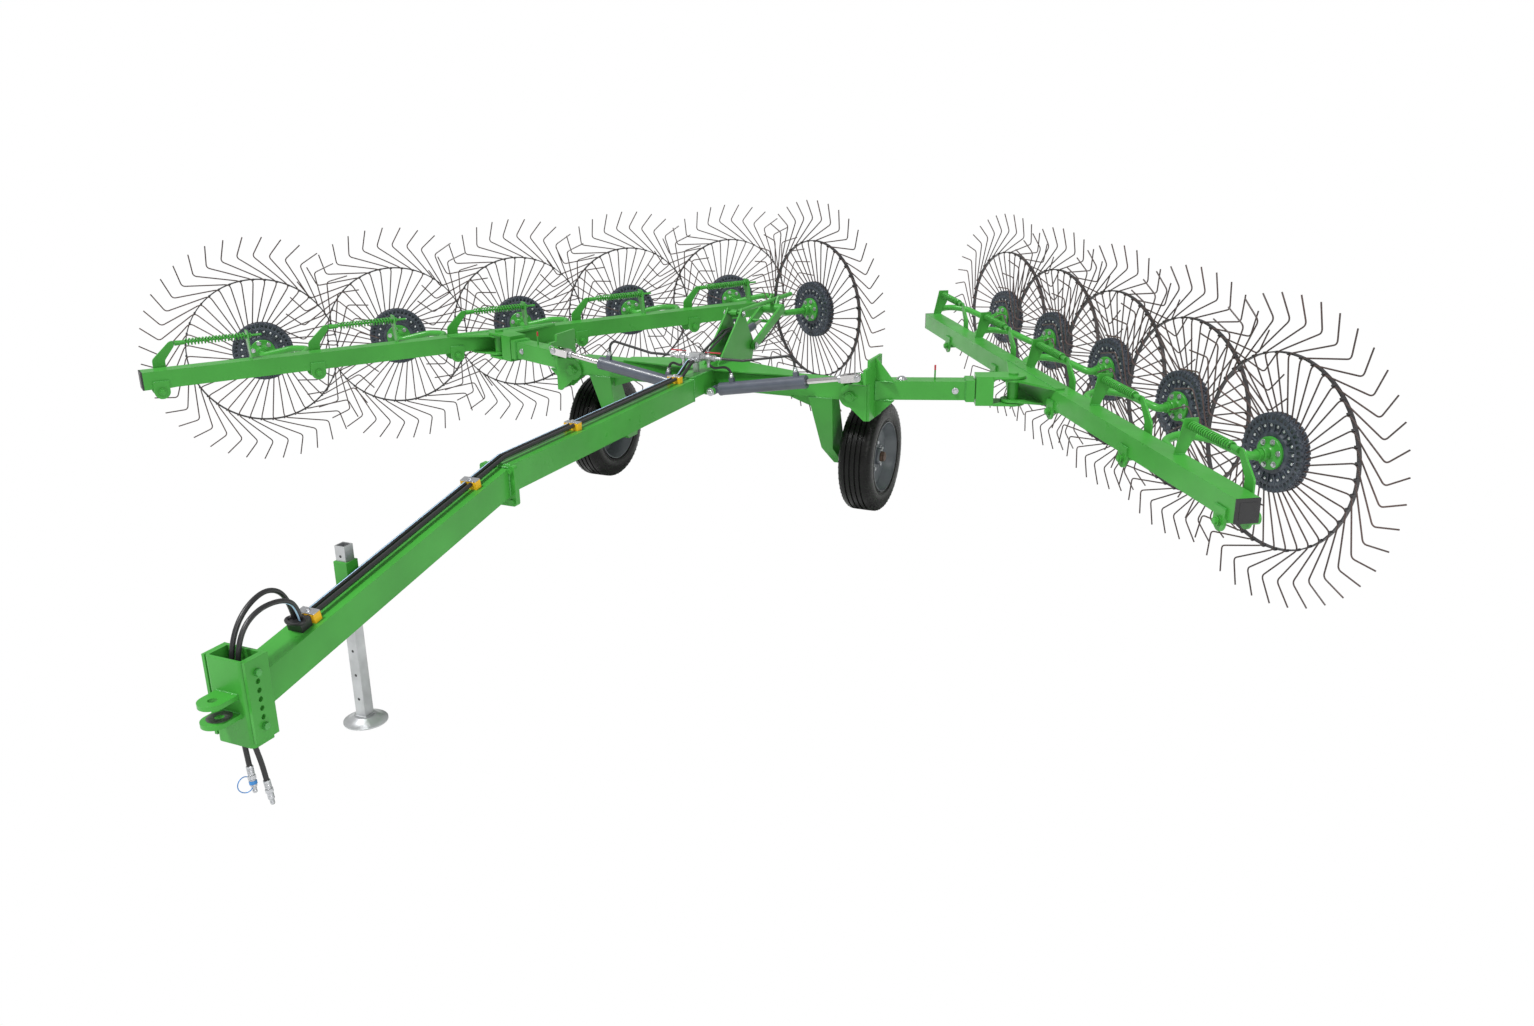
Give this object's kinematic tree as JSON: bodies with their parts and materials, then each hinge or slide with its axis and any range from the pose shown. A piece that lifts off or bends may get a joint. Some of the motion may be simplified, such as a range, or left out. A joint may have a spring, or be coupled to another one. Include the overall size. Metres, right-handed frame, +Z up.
{
  "type": "v-rake",
  "caption": "Trailed V-shaped hay rake: folding banks of tined finger wheels, a raised centre wheel, axle, drawbar and jack.",
  "frame": {"origin": "middle of the footprint, on the ground", "axes": "+Z up, the machine travels towards -Y, its left side is +X"},
  "size_m": [6.9486, 6.6271, 1.5753],
  "materials": {
    "tyre_rubber": "matt black, ribbed tread",
    "rim_paint": "light grey paint",
    "cap_plastic": "matt black",
    "tine_steel": "dark brown-black spring steel",
    "ram_paint": "dark grey gloss paint",
    "rod_chrome": "hard chrome",
    "zinc_steel": "galvanised",
    "coupler_steel": "zinc plated",
    "clamp_plastic": "yellow",
    "handle_plastic": "red",
    "hose_rubber": "matt black",
    "green_paint": "bright green gloss paint"
  },
  "bodies": {
    "frame": {"drawbar_rear": "green_paint", "drawbar_front": "green_paint", "hitch_head": "green_paint", "hitch_bolts": "zinc_steel", "jack_sleeve": "green_paint", "main_frame": "green_paint", "axle_leg_left": "green_paint", "axle_leg_right": "green_paint", "centre_mast": "green_paint", "centre_hoses": "hose_rubber", "drawbar_hoses": "hose_rubber", "free_hose_a": "hose_rubber", "free_hose_b": "hose_rubber", "hose_boot": "hose_rubber", "hose_clamps": "clamp_plastic", "hose_couplers": "coupler_steel", "lift_hoses": "hose_rubber", "valve_block": "zinc_steel", "valve_handles": "handle_plastic"},
    "jack": {"jack_leg": "zinc_steel"},
    "road_wheel_left": {"tyre_left": "tyre_rubber", "rim_left": "rim_paint"},
    "lift_arm_left": {"lift_arm_left": "green_paint"},
    "lift_barrel_left": {"lift_barrel_left": "ram_paint"},
    "lift_rod_left": {"lift_rod_left": "rod_chrome"},
    "arm_extension_left": {"arm_extension_left": "green_paint"},
    "rake_bank_left": {"rake_beam_left": "green_paint", "beam_caps_left": "cap_plastic", "wheel_arms_left": "green_paint", "springs_left": "green_paint"},
    "finger_wheel_left_1": {"finger_wheel_left_1": "tine_steel"},
    "finger_wheel_left_2": {"finger_wheel_left_2": "tine_steel"},
    "finger_wheel_left_3": {"finger_wheel_left_3": "tine_steel"},
    "finger_wheel_left_4": {"finger_wheel_left_4": "tine_steel"},
    "finger_wheel_left_5": {"finger_wheel_left_5": "tine_steel"},
    "road_wheel_right": {"tyre_right": "tyre_rubber", "rim_right": "rim_paint"},
    "lift_arm_right": {"lift_arm_right": "green_paint"},
    "lift_barrel_right": {"lift_barrel_right": "ram_paint"},
    "lift_rod_right": {"lift_rod_right": "rod_chrome"},
    "arm_extension_right": {"arm_extension_right": "green_paint"},
    "rake_bank_right": {"rake_beam_right": "green_paint", "beam_caps_right": "cap_plastic", "wheel_arms_right": "green_paint", "springs_right": "green_paint"},
    "finger_wheel_right_1": {"finger_wheel_right_1": "tine_steel"},
    "finger_wheel_right_2": {"finger_wheel_right_2": "tine_steel"},
    "finger_wheel_right_3": {"finger_wheel_right_3": "tine_steel"},
    "finger_wheel_right_4": {"finger_wheel_right_4": "tine_steel"},
    "finger_wheel_right_5": {"finger_wheel_right_5": "tine_steel"},
    "centre_boom": {"centre_boom": "green_paint"},
    "centre_link": {"centre_link": "zinc_steel"},
    "centre_barrel": {"centre_barrel": "ram_paint"},
    "centre_rod": {"centre_rod": "rod_chrome"},
    "finger_wheel_centre": {"finger_wheel_centre": "tine_steel"}
  },
  "joints": [
    {"name": "jack_slide", "type": "slide", "parent": "frame", "child": "jack", "axis": [0, 0, 1], "range_m": [0, 0.35]},
    {"name": "road_wheel_spin_left", "type": "hinge", "parent": "frame", "child": "road_wheel_left", "pos_m": [0.8605, 0.58441, 0.31], "axis": [1, 0, 0], "continuous": true},
    {"name": "lift_left", "type": "hinge", "parent": "frame", "child": "lift_arm_left", "pos_m": [0.858, 0.30441, 0.728], "axis": [0, -1, 0], "range_deg": [0, 70]},
    {"name": "lift_barrel_turn_left", "type": "hinge", "parent": "frame", "child": "lift_barrel_left", "pos_m": [0.095, 0.18441, 0.708], "axis": [0, -1, 0], "range_deg": [0, 1]},
    {"name": "lift_rod_slide_left", "type": "slide", "parent": "lift_barrel_left", "child": "lift_rod_left", "axis": [0.9861, 0, 0.1663], "range_m": [-0.165, 0]},
    {"name": "extend_left", "type": "slide", "parent": "lift_arm_left", "child": "arm_extension_left", "axis": [0.9367, 0.3502, 0], "range_m": [0, 0.28]},
    {"name": "swing_left", "type": "hinge", "parent": "arm_extension_left", "child": "rake_bank_left", "pos_m": [1.632, 0.62441, 0.75], "axis": [0, 0, -1], "range_deg": [0, 8]},
    {"name": "finger_wheel_spin_left_1", "type": "hinge", "parent": "rake_bank_left", "child": "finger_wheel_left_1", "pos_m": [2.92367, -0.06042, 0.727], "axis": [0.6896, 0.7242, 0], "continuous": true},
    {"name": "finger_wheel_spin_left_2", "type": "hinge", "parent": "rake_bank_left", "child": "finger_wheel_left_2", "pos_m": [2.45065, 0.65097, 0.727], "axis": [0.6896, 0.7242, 0], "continuous": true},
    {"name": "finger_wheel_spin_left_3", "type": "hinge", "parent": "rake_bank_left", "child": "finger_wheel_left_3", "pos_m": [1.97765, 1.36237, 0.727], "axis": [0.6896, 0.7242, 0], "continuous": true},
    {"name": "finger_wheel_spin_left_4", "type": "hinge", "parent": "rake_bank_left", "child": "finger_wheel_left_4", "pos_m": [1.50463, 2.07377, 0.727], "axis": [0.6896, 0.7242, 0], "continuous": true},
    {"name": "finger_wheel_spin_left_5", "type": "hinge", "parent": "rake_bank_left", "child": "finger_wheel_left_5", "pos_m": [1.03162, 2.78517, 0.727], "axis": [0.6896, 0.7242, 0], "continuous": true},
    {"name": "road_wheel_spin_right", "type": "hinge", "parent": "frame", "child": "road_wheel_right", "pos_m": [-0.8605, 0.58441, 0.31], "axis": [1, 0, 0], "continuous": true},
    {"name": "lift_right", "type": "hinge", "parent": "frame", "child": "lift_arm_right", "pos_m": [-0.858, 0.30441, 0.728], "axis": [0, 1, 0], "range_deg": [0, 70]},
    {"name": "lift_barrel_turn_right", "type": "hinge", "parent": "frame", "child": "lift_barrel_right", "pos_m": [-0.095, 0.18441, 0.708], "axis": [0, 1, 0], "range_deg": [0, 1]},
    {"name": "lift_rod_slide_right", "type": "slide", "parent": "lift_barrel_right", "child": "lift_rod_right", "axis": [-0.9861, 0, 0.1663], "range_m": [-0.165, 0]},
    {"name": "extend_right", "type": "slide", "parent": "lift_arm_right", "child": "arm_extension_right", "axis": [-0.9367, 0.3502, 0], "range_m": [0, 0.28]},
    {"name": "swing_right", "type": "hinge", "parent": "arm_extension_right", "child": "rake_bank_right", "pos_m": [-1.632, 0.62441, 0.75], "axis": [0, 0, 1], "range_deg": [0, 8]},
    {"name": "finger_wheel_spin_right_1", "type": "hinge", "parent": "rake_bank_right", "child": "finger_wheel_right_1", "pos_m": [-2.92367, -0.06042, 0.727], "axis": [-0.6896, 0.7242, 0], "continuous": true},
    {"name": "finger_wheel_spin_right_2", "type": "hinge", "parent": "rake_bank_right", "child": "finger_wheel_right_2", "pos_m": [-2.45065, 0.65097, 0.727], "axis": [-0.6896, 0.7242, 0], "continuous": true},
    {"name": "finger_wheel_spin_right_3", "type": "hinge", "parent": "rake_bank_right", "child": "finger_wheel_right_3", "pos_m": [-1.97765, 1.36237, 0.727], "axis": [-0.6896, 0.7242, 0], "continuous": true},
    {"name": "finger_wheel_spin_right_4", "type": "hinge", "parent": "rake_bank_right", "child": "finger_wheel_right_4", "pos_m": [-1.50463, 2.07377, 0.727], "axis": [-0.6896, 0.7242, 0], "continuous": true},
    {"name": "finger_wheel_spin_right_5", "type": "hinge", "parent": "rake_bank_right", "child": "finger_wheel_right_5", "pos_m": [-1.03162, 2.78517, 0.727], "axis": [-0.6896, 0.7242, 0], "continuous": true},
    {"name": "boom_lift", "type": "hinge", "parent": "frame", "child": "centre_boom", "pos_m": [0, 0.76941, 0.838], "axis": [1, 0, 0], "range_deg": [-8, 20]},
    {"name": "link_turn", "type": "hinge", "parent": "frame", "child": "centre_link", "pos_m": [0, 0.64441, 1.045], "axis": [1, 0, 0], "range_deg": [-7, 17]},
    {"name": "centre_barrel_turn", "type": "hinge", "parent": "frame", "child": "centre_barrel", "pos_m": [0, 0.71441, 0.905], "axis": [1, 0, 0], "range_deg": [-7.5, 18]},
    {"name": "centre_rod_slide", "type": "slide", "parent": "centre_barrel", "child": "centre_rod", "axis": [0, 0.994, 0.1093], "range_m": [-0.03, 0.012]},
    {"name": "finger_wheel_spin_centre", "type": "hinge", "parent": "centre_boom", "child": "finger_wheel_centre", "pos_m": [-0.02, 1.80941, 0.872], "axis": [0.4939, 0.8695, 0], "continuous": true}
  ],
  "couplings": [
    {"joint": "lift_barrel_turn_left", "follows": "lift_left", "ratio": 0.0123},
    {"joint": "lift_rod_slide_left", "follows": "lift_left", "m_per_rad": -0.1289},
    {"joint": "lift_barrel_turn_right", "follows": "lift_right", "ratio": 0.0123},
    {"joint": "lift_rod_slide_right", "follows": "lift_right", "m_per_rad": -0.1289},
    {"joint": "link_turn", "follows": "boom_lift", "ratio": 0.815},
    {"joint": "centre_barrel_turn", "follows": "boom_lift", "ratio": 0.863},
    {"joint": "centre_rod_slide", "follows": "boom_lift", "m_per_rad": -0.0755}
  ]
}
